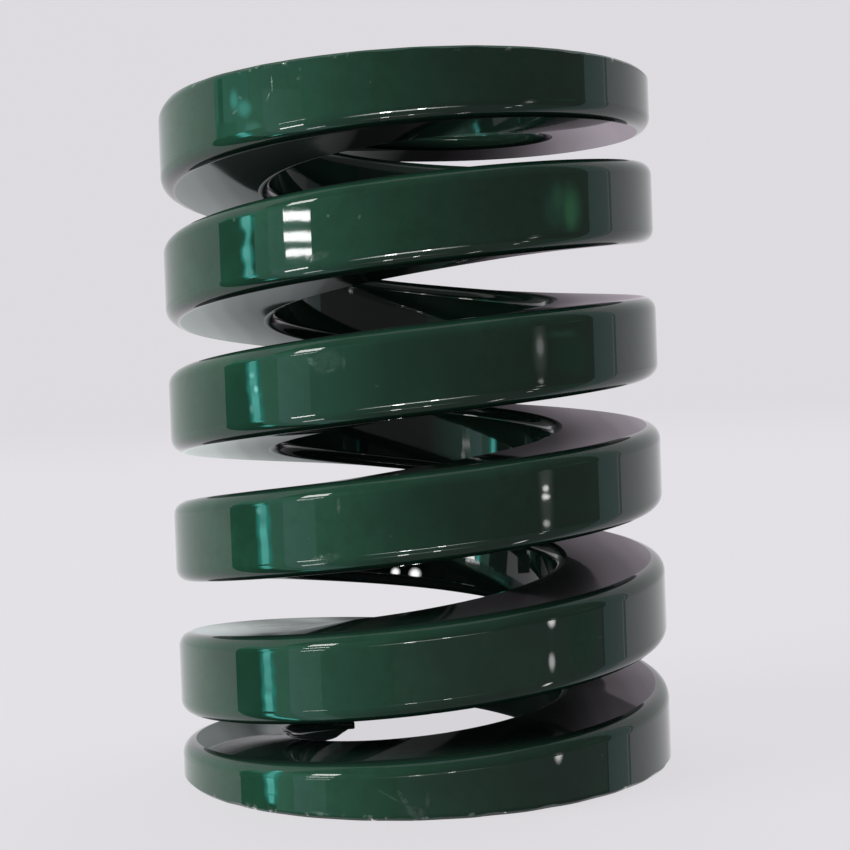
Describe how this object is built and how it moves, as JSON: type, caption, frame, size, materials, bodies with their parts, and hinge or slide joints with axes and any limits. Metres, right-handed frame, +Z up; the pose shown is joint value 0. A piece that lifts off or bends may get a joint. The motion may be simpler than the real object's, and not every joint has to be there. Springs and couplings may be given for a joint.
{
  "type": "die spring",
  "caption": "Compression die spring of rectangular wire, right-hand wound, with closed ends ground flat and square.",
  "frame": {"origin": "centre of the lower ground end face, on the spring's axis", "axes": "+Z up the spring's axis; the lower tip of the wire ends 125 degrees round from +X, counted towards +Y"},
  "size_m": [0.0372, 0.0372, 0.0508],
  "materials": {
    "green_enamel": "gloss"
  },
  "bodies": {
    "root": {"spring_coil": "green_enamel"}
  },
  "joints": []
}
